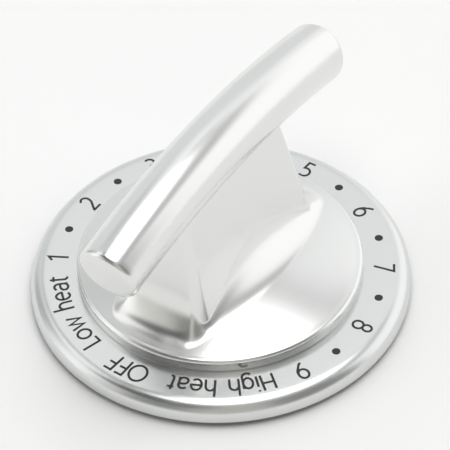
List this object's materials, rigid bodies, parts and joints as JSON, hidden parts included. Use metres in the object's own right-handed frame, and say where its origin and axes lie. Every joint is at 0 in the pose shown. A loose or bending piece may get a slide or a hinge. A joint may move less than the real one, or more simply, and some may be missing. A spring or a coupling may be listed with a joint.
{
  "type": "stove knob",
  "caption": "Round stove control knob: flat dial skirt with a rolled rim, low dome, drafted pedestal and an arched round grip bar, pushed onto a D-shaped shaft.",
  "frame": {"origin": "on the shaft axis, in the plane of the shaft insert's foot, on which the knob stands and which lies at the cooker's panel", "axes": "+Z along the shaft axis out of the panel towards the grip bar; +Y towards the OFF mark, along the bar; +X a quarter turn clockwise from OFF as seen from the grip"},
  "size_m": [0.06, 0.0602, 0.0356],
  "materials": {
    "dial_metal": "satin anodised",
    "satin_plating": "satin",
    "dial_ink": "black pad-printed ink, only in the looks",
    "insert_plastic": "moulded, fine grain",
    "spring_steel": "blued spring steel",
    "screw_steel": "zinc plated"
  },
  "bodies": {
    "root": {"dial_skirt": "dial_metal", "knob_body": "satin_plating", "shaft_insert": "insert_plastic", "spring_clip": "spring_steel", "insert_screws": "screw_steel"}
  },
  "joints": []
}
